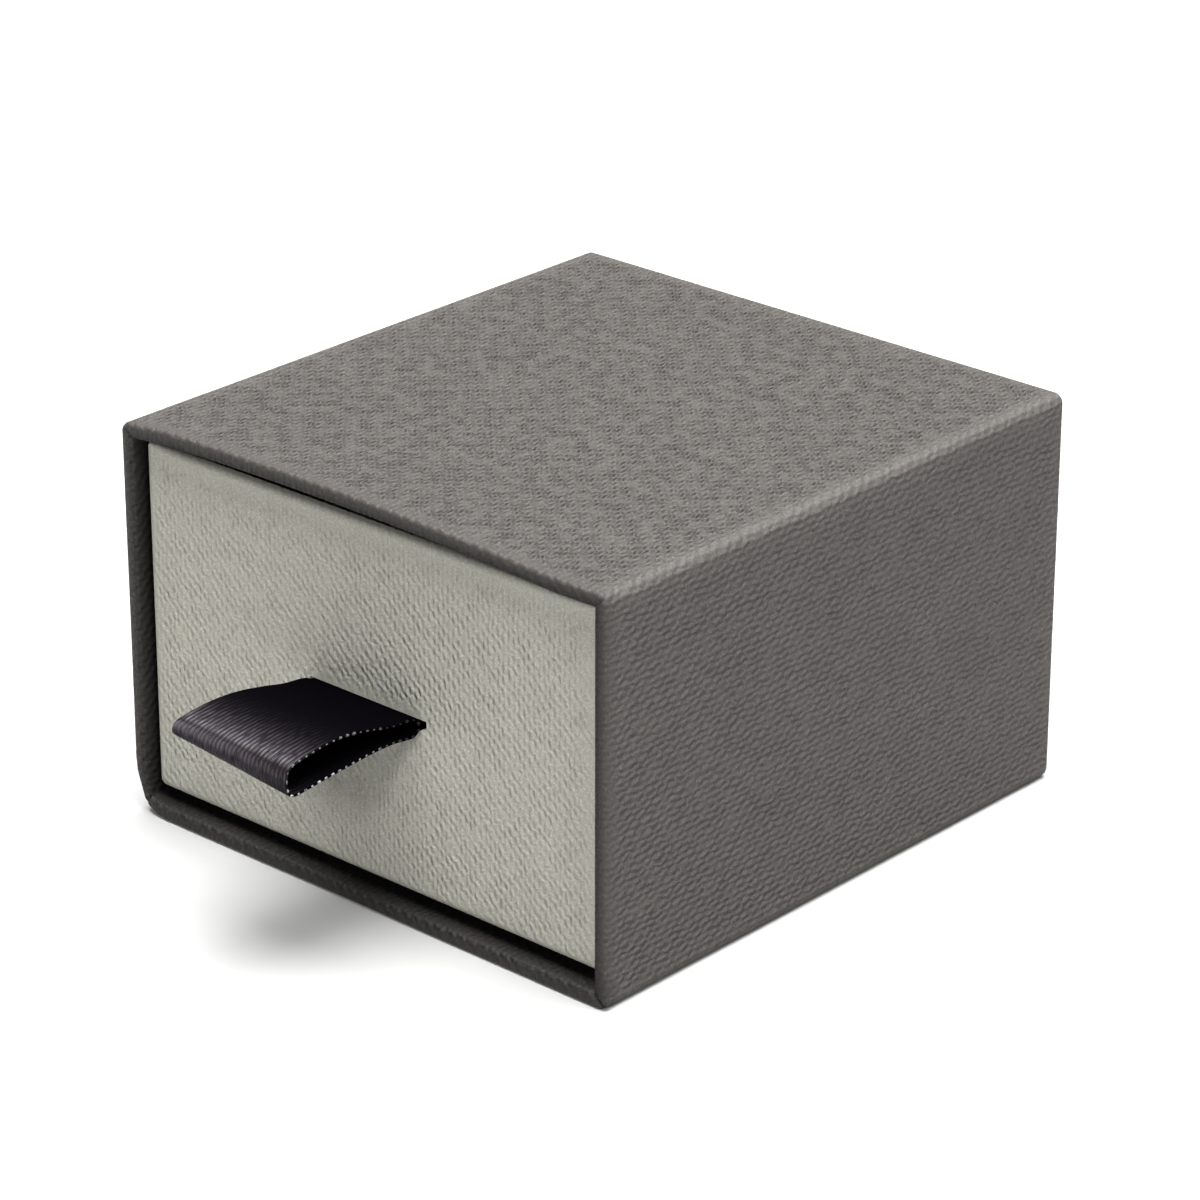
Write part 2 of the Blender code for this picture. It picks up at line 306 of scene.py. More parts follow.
# what both papers share; a scale is in waves of noise to the metre
embossing = {
    "strayScale": 560,
    "strayLevels": (0.0, 3.7),  # where in the noise the rows' and the steps' strays lie
    "pressScale": 620,
    "pressLevel": 1.9,
    "press": (0.35, 1.3),       # the shallowest and the deepest pressing
    "pressEnds": (0.35, 0.65),
    "grainScale": 2600,
    "cloudScale": 160,
    # fine specks whose peaks are painted glints on the linen
    "fleckAndGlintScale": 5200,
    "fleckAndGlintEnds": (0.5, 0.72),
    "heightEnds": (-1, 2),
    # how dark the painted shade makes the paper, as a share of its colour
    "paintedShadeLevel": 0.03,
    "specular": 0.12,
}


def linenFinish(name, cloth, source):
    made, tree, shader = startMaterial(name)
    across, along = flatPlace(tree, source)
    flat = joined(tree, across, along)
    strays = []
    for level, reach in zip(embossing["strayLevels"], cloth["wander"]):
        stray = mottle(tree, joined(tree, across, along, level), embossing["strayScale"])
        strays.append(spread(tree, stray, -reach / 2, reach / 2, *noiseEnds))
    rows = plus(tree, maths(tree, "DIVIDE", across, cloth["rowPitch"]), strays[0])
    steps = plus(tree, maths(tree, "DIVIDE", along, cloth["stepPitch"]), strays[1])
    half = times(tree, rows, 0.5)
    phases = (rows, plus(tree, half, steps), maths(tree, "SUBTRACT", half, steps))
    # cords along the sheet, and waves slanting both ways over them, pressed deeper here and there
    height = 0.0
    for phase, wave in zip(phases, cloth["waves"]):
        ridge = times(tree, maths(tree, "COSINE", times(tree, phase, 2 * math.pi)), wave)
        height = plus(tree, ridge, height)
    pressPlace = joined(tree, across, along, embossing["pressLevel"])
    pressed = mottle(tree, pressPlace, embossing["pressScale"])
    pressed = spread(tree, pressed, *embossing["press"], *embossing["pressEnds"])
    height = times(tree, height, pressed)
    grain = mottle(tree, flat, embossing["grainScale"], 3, 0.6)
    relief = plus(tree, height, times(tree, grain, 2 * cloth["grain"]))

    cloud = mottle(tree, flat, embossing["cloudScale"], 3)
    fleckAndGlint = mottle(tree, flat, embossing["fleckAndGlintScale"])
    toneAndLightRange = cloth["toneAndPaintedLightRange"]
    # the colour: painted shade in the embossing's hollows and painted light on its ridges, random
    # tone from the cloud, and painted glints at the peaks of the fine specks
    paintedReliefShade = spread(tree, height, 1 - toneAndLightRange, 1 + toneAndLightRange, *embossing["heightEnds"])
    byCloud = spread(tree, cloud, 1 - toneAndLightRange, 1 + toneAndLightRange, *noiseEnds)
    paintedGlints = spread(tree, fleckAndGlint, 1 - 2 * toneAndLightRange, 1 + 10 * toneAndLightRange, *embossing["fleckAndGlintEnds"])
    colour = tinted(tree, cloth["shade"], times(tree, times(tree, paintedReliefShade, byCloud), paintedGlints))
    strength = 1.0
    if source == "map":
        # painted shade in the mitres, on the lips and on the paper turned in behind them, and the
        # embossing pressed flat over the edges
        dark = tuple(embossing["paintedShadeLevel"] * part for part in cloth["shade"])
        colour = blendColours(tree, attribute(tree, "paintedShade"), colour, dark)
        strength = attribute(tree, "relief")
    roughness = spread(tree, grain, *cloth["roughness"], *noiseEnds)
    normal = bumped(tree, relief, cloth["depth"], strength)
    dress(tree, shader, colour, roughness, embossing["specular"], normal)
    return made


smoothPaper = {
    "dark": (0.016, 0.014, 0.014),
    "pale": (0.46, 0.46, 0.41),
    "card": (0.47, 0.47, 0.42),
    "fibreScale": 2600,
    "fibreEnds": (0.25, 0.75),
    "cloudScale": 220,
    "roughness": (0.72, 0.9),
    "specular": 0.3,
    "depth": 0.02 * mm,
}


def smoothPaperFinish(name, shade, grain):
    made, tree, shader = startMaterial(name)
    place = objectPlace(tree)
    fibres = mottle(tree, place, smoothPaper["fibreScale"], 4, 0.65)
    cloud = mottle(tree, place, smoothPaper["cloudScale"], 3)
    byFibre = spread(tree, fibres, 1 - grain, 1 + grain, *smoothPaper["fibreEnds"])
    byCloud = spread(tree, cloud, 1 - grain / 2, 1 + grain / 2, *noiseEnds)
    colour = tinted(tree, smoothPaper[shade], times(tree, byFibre, byCloud))
    roughness = spread(tree, fibres, *smoothPaper["roughness"])
    normal = bumped(tree, fibres, smoothPaper["depth"])
    dress(tree, shader, colour, roughness, smoothPaper["specular"], normal)
    return made


greyBoard = {
    "pulpScale": 900,
    "dark": (0.20, 0.183, 0.155),
    "light": (0.31, 0.29, 0.25),
    "fleckAndGlintScale": 3800,
    "fleckShade": (0.07, 0.065, 0.06),
    "fleckShare": 0.75,
    "fleckAndGlintEnds": (0.66, 0.74),
    "plyScale": 3500,
    "plyStretch": 0.2,
    "plyShade": (0.38, 0.35, 0.3),
    "plyShare": 0.35,
    "plyEnds": (0.45, 0.65),
    "roughness": (0.85, 0.98),
    "specular": 0.2,
    "depth": 0.04 * mm,
}


def greyBoardFinish(name):
    made, tree, shader = startMaterial(name)
    place = objectPlace(tree)
    pulp = mottle(tree, place, greyBoard["pulpScale"], 5, 0.7)
    flecks = mottle(tree, place, greyBoard["fleckAndGlintScale"], 2, 0.4)
    layers = split(tree, place)
    drawn = [times(tree, layers[axis], greyBoard["plyStretch"]) for axis in "XY"]
    ply = mottle(tree, joined(tree, *drawn, layers["Z"]), greyBoard["plyScale"])
    mixed = spread(tree, pulp, 0, 1, *noiseEnds)
    colour = blendColours(tree, mixed, greyBoard["dark"], greyBoard["light"])
    fleckAndGlint = spread(tree, flecks, 0, greyBoard["fleckShare"], *greyBoard["fleckAndGlintEnds"])
    colour = blendColours(tree, fleckAndGlint, colour, greyBoard["fleckShade"])
    layer = spread(tree, ply, 0, greyBoard["plyShare"], *greyBoard["plyEnds"])
    colour = blendColours(tree, layer, colour, greyBoard["plyShade"])
    roughness = spread(tree, pulp, *greyBoard["roughness"])
    normal = bumped(tree, plus(tree, pulp, flecks), greyBoard["depth"])
    dress(tree, shader, colour, roughness, greyBoard["specular"], normal)
    return made


satin = {
    "ribPitch": 0.44 * mm,
    "pickPitch": 0.21 * mm,
    "pickLag": 0.4,             # from one rib to the next, in picks
    "strokeScale": 900,
    "strokeStretch": 9.0,
    "strokeEnds": (0.38, 0.64),
    "strokeShine": (0.0, 1.5),
    "ribSharpness": 3,
    "shine": (0.1, 1.0),
    "heights": (0.7, 0.35, 0.06),   # of the ribs, the strokes and the picks
    "deep": (0.0012, 0.0010, 0.0014),
    # the colour the painted sheen lightens the ribs' crests to
    "paintedSheenColour": (0.086, 0.075, 0.088),
    "rubbed": (0.036, 0.032, 0.037),
    "rubbedEnds": (0.35, 0.65),
    "paintedCreaseShadeColour": (0.006, 0.004, 0.004),
    "roughness": (0.6, 0.4),
    "specular": (0.0, 0.07),
    "depth": 0.05 * mm,
}


def satinFinish(name):
    made, tree, shader = startMaterial(name)
    across, along = flatPlace(tree, "map")
    rib = maths(tree, "DIVIDE", across, satin["ribPitch"])
    crown = maths(tree, "SINE", times(tree, maths(tree, "FRACT", rib), math.pi))
    threadOfRib = maths(tree, "FLOOR", rib)
    # floats of the warp: long strokes along the ribbon that end at different places
    offset = speckle(tree, joined(tree, threadOfRib, 2.0))
    drawn = joined(tree, times(tree, across, satin["strokeStretch"]), plus(tree, along, offset))
    strokes = mottle(tree, drawn, satin["strokeScale"], 3, 0.6)
    picks = maths(tree, "DIVIDE", along, satin["pickPitch"])
    picks = plus(tree, picks, times(tree, threadOfRib, satin["pickLag"]))
    pick = maths(tree, "SINE", times(tree, picks, 2 * math.pi))
    ribHeight, strokeHeight, pickHeight = satin["heights"]
    height = plus(tree, times(tree, crown, ribHeight), times(tree, strokes, strokeHeight))
    height = plus(tree, height, times(tree, pick, pickHeight))
    # painted sheen: the ribs' crests are painted lighter towards the fold, and the satin stays deep
    # black at the slit
    glossAndPaintedSheen, worn, paintedCreaseShade = (attribute(tree, part) for part in ("glossAndPaintedSheen", "worn", "paintedCreaseShade"))
    shine = maths(tree, "POWER", crown, satin["ribSharpness"])
    shine = times(tree, shine, spread(tree, strokes, *satin["strokeShine"], *satin["strokeEnds"]))
    lit = times(tree, glossAndPaintedSheen, spread(tree, shine, *satin["shine"]))
    colour = blendColours(tree, lit, satin["deep"], satin["paintedSheenColour"])
    rubbed = times(tree, worn, spread(tree, strokes, *satin["shine"], *satin["rubbedEnds"]))
    colour = blendColours(tree, rubbed, colour, satin["rubbed"])
    # painted shade along the crease at the fold
    colour = blendColours(tree, paintedCreaseShade, colour, satin["paintedCreaseShadeColour"])
    roughness = spread(tree, height, *satin["roughness"])
    specular = spread(tree, glossAndPaintedSheen, *satin["specular"])
    dress(tree, shader, colour, roughness, specular, bumped(tree, height, satin["depth"]))
    return made


selvedge = {
    "twistScale": 4200,
    "twistEnds": (0.35, 0.6),
    "dark": (0.006, 0.005, 0.006),
    # the colour of the painted highlights on the beads
    "light": (0.30, 0.29, 0.29),
    "fade": (12 * mm, 1 * mm),      # how far out the beads get their full painted highlight, and where they have none and are dark
    "levels": (-0.2 * mm, 0.6 * mm),
    "upperHighlightShare": 0.35,         # how much of the painted highlight the beads of the upper strand get
    "roughness": (0.6, 0.4),
    "specular": 0.2,
    "depth": 0.04 * mm,
}


def selvedgeFinish(name):
    made, tree, shader = startMaterial(name)
    place = objectPlace(tree)
    twist = mottle(tree, place, selvedge["twistScale"], 3, 0.6)
    # the beads' colour: painted highlights on the twists of their thread, fading out towards the
    # slit and weaker on the upper strand
    ends = [drawerLow.y - reach for reach in selvedge["fade"]]
    out = spread(tree, split(tree, place)["Y"], 1, 0, *ends, smooth=True)
    share = times(tree, spread(tree, twist, 0, 1, *selvedge["twistEnds"]), out)
    levels = [slitLevel + level for level in selvedge["levels"]]
    low = spread(tree, split(tree, place)["Z"], 1, selvedge["upperHighlightShare"], *levels)
    colour = blendColours(tree, times(tree, share, low), selvedge["dark"], selvedge["light"])
    roughness = spread(tree, twist, *selvedge["roughness"])
    normal = bumped(tree, twist, selvedge["depth"])
    dress(tree, shader, colour, roughness, selvedge["specular"], normal)
    return made


flock = {
    "pileScale": 5200,
    "pileEnds": (0.3, 0.72),
    "napScale": 260,
    "napLow": 0.6,
    "dark": (0.010, 0.009, 0.010),
    "light": (0.040, 0.037, 0.040),
    "roughness": (0.9, 1.0),
    "specular": 0.1,
    "sheen": 0.35,
    "sheenRoughness": 0.5,
    "depth": 0.09 * mm,
}


def flockFinish(name):
    made, tree, shader = startMaterial(name)
    place = objectPlace(tree)
    pile = mottle(tree, place, flock["pileScale"], 4, 0.75)
    nap = mottle(tree, place, flock["napScale"], 3)
    byPile = spread(tree, pile, 0, 1, *flock["pileEnds"])
    share = times(tree, byPile, spread(tree, nap, flock["napLow"], 1.0, *noiseEnds))
    colour = blendColours(tree, share, flock["dark"], flock["light"])
    roughness = spread(tree, pile, *flock["roughness"])
    dress(tree, shader, colour, roughness, flock["specular"], bumped(tree, pile, flock["depth"]))
    shader.inputs["Sheen Weight"].default_value = flock["sheen"]
    shader.inputs["Sheen Roughness"].default_value = flock["sheenRoughness"]
    return made


table = {
    "cloudScale": 3,
    "cloudShade": 0.985,
    "roughness": 0.9,
    "specular": 0.2,
}


def tableFinish():
    made, tree, shader = startMaterial("paleTable")
    cloud = mottle(tree, objectPlace(tree), table["cloudScale"])
    darker = tuple(table["cloudShade"] * part for part in studio["floorShade"])
    feed(tree, shader.inputs["Base Color"], blendColours(tree, cloud, studio["floorShade"], darker))
    shader.inputs["Roughness"].default_value = table["roughness"]
    shader.inputs["Specular IOR Level"].default_value = table["specular"]
    return made


# Meshes

def objectFrom(name, bm):
    mesh = bpy.data.meshes.new(name)
    bm.to_mesh(mesh)
    bm.free()
    made = bpy.data.objects.new(name, mesh)
    scene.collection.objects.link(made)
    return made


def applied(obj):
    # the modifiers' result as the object's own mesh
    bpy.context.view_layer.update()
    made = obj.evaluated_get(bpy.context.evaluated_depsgraph_get())
    shaped = bpy.data.meshes.new_from_object(made)
    old = obj.data
    obj.modifiers.clear()
    obj.data = shaped
    shaped.name = obj.name
    bpy.data.meshes.remove(old)


def thickened(obj, thickness, offset=-1):
    change = obj.modifiers.new("thickness", "SOLIDIFY")
    change.thickness = thickness
    change.offset = offset
    change.use_even_offset = True
    change.use_quality_normals = True
    applied(obj)


def smoothShaded(obj, angle=40):
    obj.data.shade_smooth()
    obj.data.set_sharp_from_angle(angle=math.radians(angle))
    return obj


def cutWith(obj, size, place):
    # takes a block of this size at this place out of the object
    bm = bmesh.new()
    bmesh.ops.create_cube(bm, size=1)
    bmesh.ops.scale(bm, verts=bm.verts, vec=size)
    bmesh.ops.translate(bm, verts=bm.verts, vec=place)
    knife = objectFrom("knife", bm)
    change = obj.modifiers.new("cut", "BOOLEAN")
    change.operation = "DIFFERENCE"
    change.solver = "EXACT"
    change.object = knife
    applied(obj)
    bpy.data.objects.remove(knife, do_unlink=True)


def finished(obj, material, body=None):
    obj.data.materials.clear()
    obj.data.materials.append(material)
    if body:
        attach(obj, body)


def bentBoard(name, node, bm, material, body, bend):
    for vert in bm.verts:
        vert.co = bend(vert.co)
    panel = smoothShaded(objectFrom(name, bm), angle=30)
    finished(panel, material, body)
    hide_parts(node)


def folded(corners, bendSteps, pitch):
    # the path through (inset, level, radius) corners, with each bend rounded and long runs divided
    places = [Vector(corner[:2]) for corner in corners]
    turns = []
    for index, corner in enumerate(corners):
        here, radius = places[index], corner[2]
        if not radius:
            turns.append([here])
            continue
        toLast = (places[index - 1] - here).normalized()
        toNext = (places[index + 1] - here).normalized()
        half = toLast.angle(toNext) / 2
        centre = here + (toLast + toNext).normalized() * radius / math.sin(half)
        start = here + toLast * radius / math.tan(half) - centre
        end = here + toNext * radius / math.tan(half) - centre
        turn = start.angle_signed(end)
        angles = [-turn * step / bendSteps for step in range(bendSteps + 1)]
        turns.append([centre + Matrix.Rotation(angle, 2) @ start for angle in angles])
    path = list(turns[0])
    for points in turns[1:]:
        start, end = path[-1], points[0]
        count = max(1, round((end - start).length / pitch))
        path += [start.lerp(end, step / count) for step in range(1, count)]
        path += points
    return path


def travelAlong(path):
    travelled = [0.0]
    for last, here in zip(path, path[1:]):
        travelled.append(travelled[-1] + (here - last).length)
    return travelled


def ringOf(halfA, halfB, radius, counts, cornerSteps):
    # (a, b, side, angle) round a rectangle with round corners, anticlockwise from the +a side
    points = []
    lengths = (halfB - radius, halfA - radius)
    for side in range(4):
        count = counts[side % 2]
        run = lengths[side % 2]
        turn = Matrix.Rotation(side * math.pi / 2, 2)
        reach = (halfA, halfB)[side % 2]
        for step in range(count):
            spot = turn @ Vector((reach, -run + 2 * run * step / count))
            points.append((spot.x, spot.y, side, 0.0))
        for step in range(cornerSteps):
            angle = step / cornerSteps * math.pi / 2
            out = reach - radius + radius * math.cos(angle)
            spot = turn @ Vector((out, run + radius * math.sin(angle)))
            points.append((spot.x, spot.y, side, angle))
    return points


def paperBand(name, form, place):
    # a sheet folded round a rectangular form; its map, in metres, runs straight into each mitre
    path = folded(form["corners"], form["bendSteps"], form["pitch"])
    halfA, halfB, cornerRound = form["halfA"], form["halfB"], form["cornerRound"]
    counts = [max(2, round(2 * half / form["pitch"])) for half in (halfB, halfA)]
    travelled = travelAlong(path)
    bm = bmesh.new()
    sheetMap = bm.loops.layers.uv.new("sheetMap")
    rings, spots = [], []
    for inset, level in path:
        radius = max(cornerRound - inset, form["tightRound"])
        ring = ringOf(halfA - inset, halfB - inset, radius, counts, form["cornerSteps"])
        spots.append(ring)
        rings.append([bm.verts.new(place(a, b, level)) for a, b, side, angle in ring])
    count = len(rings[0])
    around, total = [], 0.0
    outer = ringOf(halfA, halfB, cornerRound, counts, form["cornerSteps"])
    for index in range(count + 1):
        around.append(total)
        here, after = outer[index % count], outer[(index + 1) % count]
        total += math.hypot(after[0] - here[0], after[1] - here[1])
    middles = []
    for side in range(4):
        members = [i for i in range(count) if outer[i][2] == side and outer[i][3] == 0.0]
        run = (halfB if side % 2 == 0 else halfA) - cornerRound
        middles.append(around[members[0]] + run)
    for k in range(len(path) - 1):
        flat = path[k][0] > 0 or path[k + 1][0] > 0
        for i in range(count):
            j = (i + 1) % count
            face = bm.faces.new((rings[k][i], rings[k][j], rings[k + 1][j], rings[k + 1][i]))
            side, angle = outer[i][2], outer[i][3]
            nearSide = side if angle < math.pi / 4 - 0.01 else (side + 1) % 4
            ends = ((k, i, 0), (k, j, 1), (k + 1, j, 1), (k + 1, i, 0))
            for loop, (ringIndex, pointIndex, wrap) in zip(face.loops, ends):
                if flat:
                    a, b = spots[ringIndex][pointIndex][:2]
                    along = (b, -a, -b, a)[nearSide]
                    across = middles[nearSide] + along
                else:
                    across = around[i + wrap]
                loop[sheetMap].uv = (across, travelled[ringIndex])
    return objectFrom(name, bm)


edgeRelief = 0.3            # the embossing is pressed flat where the paper is drawn over an edge
edgeReach = 1.6 * mm


def reliefAt(edges, inner=False):
    return edgeRelief if inner else max(edgeRelief, min(1.0, sorted(edges)[1] / edgeReach))


def eased(share):
    share = max(0.0, min(1.0, share))
    return share * share * (3 - 2 * share)


def slowNoise(point, scale, seed):
    # slow noise from 0 to 1
    return 0.5 + 0.5 * noise.noise(point * scale + Vector(seed))


# Sleeve wrap

sleeve = {
    "width": 56 * mm,
    "depth": 60 * mm,
    "height": 37 * mm,
    "wall": 1.4 * mm,
    "paper": 0.2 * mm,
    "glue": 0.1 * mm,
    "edgeRound": 1.0 * mm,
    "mouthRound": 0.4 * mm,
    "backRound": 0.7 * mm,
    "turnIn": 12 * mm,
    "backFlap": 10 * mm,
    "pitch": 1.5 * mm,
    "tightRound": 0.25 * mm,    # round the inner corners of the folded-in paper
    "sag": 0.05 * mm,           # how unevenly the paper lies on the board
    "sagScale": 90,
    "sagSeed": (3.1, 0.7, 5.3),
    "longEdge": 10 * mm,        # a board's edges over this length are cut up to bend
    "boardCuts": 47,
    "bow": 0.75 * mm,           # how far the top's front edge has sprung up
    "bowMiddle": -5 * mm,
    "bowHalf": 27 * mm,
    "bowDepth": 14 * mm,
    "bowRun": 6 * mm,           # over which it starts from the sides
    "bowFloor": 0.9,            # share of the height above which it bows
    "crushReach": 3.4 * mm,     # the knocked lower left corner of the mouth
    "crushDepth": 0.9 * mm,
    "crushShape": (1, 0.8, 0.7),
    "crushWay": (0.75, 0.35, 0.6),
    "mitreReach": 0.5 * mm,     # how far in from the mouth the mitres run
    "mitreWidth": 0.22 * mm,    # half the width of the crease where two folds meet
    "mitreDepth": 0.12 * mm,
    # painted shade in the creases of the mitres; the opened one gets the full painted shade
    "mitrePaintedShade": 0.45,
    "slitWidth": 0.34 * mm,     # the mitre that has opened, at the lower right
    "slitDepth": 1.6,           # as a share of the others
    "lipPaintedShade": 0.7,            # how dark the painted shade makes the lip towards its inner edge
    "lipStart": (0.35, 0.6),    # and where that starts on the upper lips and on the lowest
    "hemPaintedShade": 0.97,           # how dark the painted shade makes the paper behind the lip
    "innerFrom": 0.9,           # share of the wall past which a point is inside the sleeve
}


def crushed(point):
    corner = Vector((-sleeve["width"] / 2, -sleeve["depth"] / 2, 0))
    away = (point - corner) * Vector(sleeve["crushShape"])
    share = eased(1 - away.length / sleeve["crushReach"])
    return point + Vector(sleeve["crushWay"]) * sleeve["crushDepth"] * share


def bowed(point):
    inward = eased(1 - (point.y + sleeve["depth"] / 2) / sleeve["bowDepth"])
    if point.z < sleeve["height"] * sleeve["bowFloor"] or not inward:
        return point
    arch = max(0.0, 1 - ((point.x - sleeve["bowMiddle"]) / sleeve["bowHalf"]) ** 2)
    fromEdge = eased((sleeve["width"] / 2 - abs(point.x)) / sleeve["bowRun"])
    return point + Vector((0, 0, sleeve["bow"] * arch * fromEdge * inward))


def makeSleeveWrap():
    halfX, halfZ = sleeve["width"] / 2, sleeve["height"] / 2
    mouth, back = -sleeve["depth"] / 2, sleeve["depth"] / 2
    wall = sleeve["wall"]
    flapLevel = back - sleeve["paper"] - sleeve["glue"]
    form = {
        "halfA": halfX,
        "halfB": halfZ,
        "cornerRound": sleeve["edgeRound"],
        "tightRound": sleeve["tightRound"],
        "pitch": sleeve["pitch"],
        "bendSteps": 8,
        "cornerSteps": 12,
        "corners": (
            (sleeve["backFlap"], flapLevel, 0),
            (0, flapLevel, sleeve["backRound"]),
            (0, mouth, sleeve["mouthRound"]),
            (wall, mouth, sleeve["mouthRound"]),
            (wall, mouth + sleeve["turnIn"], 0),
        ),
    }
    wrap = paperBand("sleeveWrap", form, lambda a, b, level: (a, level, b + halfZ))
    paintedShade = wrap.data.attributes.new("paintedShade", "FLOAT", "POINT")
    relief = wrap.data.attributes.new("relief", "FLOAT", "POINT")
    bpy.context.view_layer.update()
    for index, vert in enumerate(wrap.data.vertices):
        point = vert.co.copy()
        # the paper lies a little unevenly, always inwards of the sharp form
        sag = slowNoise(point, sleeve["sagScale"], sleeve["sagSeed"])
        inner = min(halfX - abs(point.x), halfZ - abs(point.z - halfZ)) > sleeve["innerFrom"] * wall
        if not inner:
            point -= vert.normal * sleeve["sag"] * sag
        # mitred corners of the mouth, with painted shade in their creases and in the opened slit,
        # and painted shade on the lips
        across = abs(point.x) - halfX
        up = abs(point.z - halfZ) - halfZ
        share, dark = 0.0, 0.0
        if point.y < mouth + sleeve["mitreReach"]:
            off = abs(across - up) / math.sqrt(2)
            opened = point.x > 0 and point.z < halfZ
            outwards = 1 - min(1.0, max(0.0, -(across + up) / 2 / wall))
            width = sleeve["mitreWidth"] + (sleeve["slitWidth"] * outwards if opened else 0)
            share = max(0.0, 1 - off / width)
            dark = share * (1.0 if opened else sleeve["mitrePaintedShade"])
            point.y += sleeve["mitreDepth"] * share * (sleeve["slitDepth"] if opened else 1.0)
            lip = sleeve["lipStart"][point.z < 2 * wall] - max(across, up) / wall
            dark = max(dark, sleeve["lipPaintedShade"] * min(1.0, lip))
        # painted shade on the paper turned in inside the sleeve
        elif inner:
            dark = sleeve["hemPaintedShade"]
        paintedShade.data[index].value = min(1.0, dark)
        edges = (halfX - abs(point.x), halfZ - abs(point.z - halfZ),
                 point.y - mouth, back - point.y)
        relief.data[index].value = reliefAt(edges, inner)
        vert.co = bowed(crushed(point))
    thickened(wrap, sleeve["paper"])
    smoothShaded(wrap)
    finished(wrap, linenFinish("darkLinen", darkLinen, "map"), "sleeve")
    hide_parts("sleeve_wrap")

    # the boards under the knocked corner and the bowed edge are bent with them
    board = greyBoardFinish("greyBoardBent")
    for side in ("Bottom", "Left", "Top"):
        name, node = f"sleeve{side}Board", f"sleeve_{side.lower()}_board"
        bm = bmesh.new()
        bm.from_mesh(nodes[node].data)
        bmesh.ops.remove_doubles(bm, verts=bm.verts, dist=mm / 1000)
        long = [edge for edge in bm.edges if edge.calc_length() > sleeve["longEdge"]]
        bmesh.ops.subdivide_edges(bm, edges=long, cuts=sleeve["boardCuts"], use_grid_fill=True)
        bentBoard(name, node, bm, board, "sleeve", lambda point: bowed(crushed(point)))


# Drawer wrap

drawer = {
    "baseFlap": 8 * mm,
    "rimTurnIn": 10 * mm,
    "cornerRound": 0.5 * mm,
    "baseRound": 1.0 * mm,
    "rimRound": 0.5 * mm,
    "pitch": 1.6 * mm,
    "slitWidth": 13.7 * mm,
    "slitHeight": 0.89 * mm,
    "sag": 0.03 * mm,
    "sagScale": 70,
    "sagSeed": (7.7, 1.9, 2.2),
    "frontDrop": 0.3 * mm,      # how much lower the front's rim is than the others
    "dropReach": 5 * mm,
    "dropRun": 3 * mm,          # over which it starts from the sides, and on the board
    "boardRun": 0.1 * mm,
}
drawerLow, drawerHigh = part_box("drawer_wrap")
slitLevel = (drawerLow.z - sleeve["glue"] - sleeve["paper"] + drawerHigh.z) / 2


def dropped(point, run=drawer["dropRun"]):
    fromFront = eased(1 - (point.y - drawerLow.y - 2 * sleeve["wall"]) / mm)
    fromRim = eased(1 - (drawerHigh.z - point.z) / drawer["dropReach"])
    fromSide = eased((drawerHigh.x - abs(point.x)) / run)
    return point - Vector((0, 0, drawer["frontDrop"] * fromFront * fromRim * fromSide))


def makeDrawerWrap():
    wall = sleeve["wall"]
    halfX = (drawerHigh.x - drawerLow.x) / 2
    halfY = (drawerHigh.y - drawerLow.y) / 2
    middleY = (drawerHigh.y + drawerLow.y) / 2
    form = {
        "halfA": halfX,
        "halfB": halfY,
        "cornerRound": drawer["cornerRound"],
        "tightRound": sleeve["tightRound"],
        "pitch": drawer["pitch"],
        "bendSteps": 8,
        "cornerSteps": 8,
        "corners": (
            (drawer["baseFlap"], drawerLow.z, 0),
            (0, drawerLow.z, drawer["baseRound"]),
            (0, drawerHigh.z, drawer["rimRound"]),
            (wall, drawerHigh.z, drawer["rimRound"]),
            (wall, drawerHigh.z - drawer["rimTurnIn"], 0),
        ),
    }
    wrap = paperBand("drawerWrap", form, lambda a, b, level: (a, b + middleY, level))
    relief = wrap.data.attributes.new("relief", "FLOAT", "POINT")
    for index, vert in enumerate(wrap.data.vertices):
        fromX, fromY = halfX - abs(vert.co.x), halfY - abs(vert.co.y - middleY)
        edges = (fromX, fromY, drawerHigh.z - vert.co.z, vert.co.z - drawerLow.z)
        relief.data[index].value = reliefAt(edges)
        sag = slowNoise(vert.co, drawer["sagScale"], drawer["sagSeed"])
        if min(fromX, fromY) < wall / 2:
            vert.co -= vert.normal * drawer["sag"] * sag
        vert.co = dropped(vert.co)
    # the pale paper reads the painted-shade mask too; on the drawer it stays at nothing
    wrap.data.attributes.new("paintedShade", "FLOAT", "POINT")
    thickened(wrap, sleeve["paper"])

    slit = (drawer["slitWidth"], 3 * wall, drawer["slitHeight"])
    cutWith(wrap, slit, (0, drawerLow.y, slitLevel))
    smoothShaded(wrap)
    finished(wrap, linenFinish("paleLinen", paleLinen, "map"), "drawer")
    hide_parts("drawer_wrap")

    bm = bmesh.new()
    bm.from_mesh(nodes["drawer_front_board"].data)
    bentBoard("drawerFrontBoard", "drawer_front_board", bm, greyBoardFinish("greyBoardFront"),
              "drawer", lambda point: dropped(point, drawer["boardRun"]))


# Ribbon pull

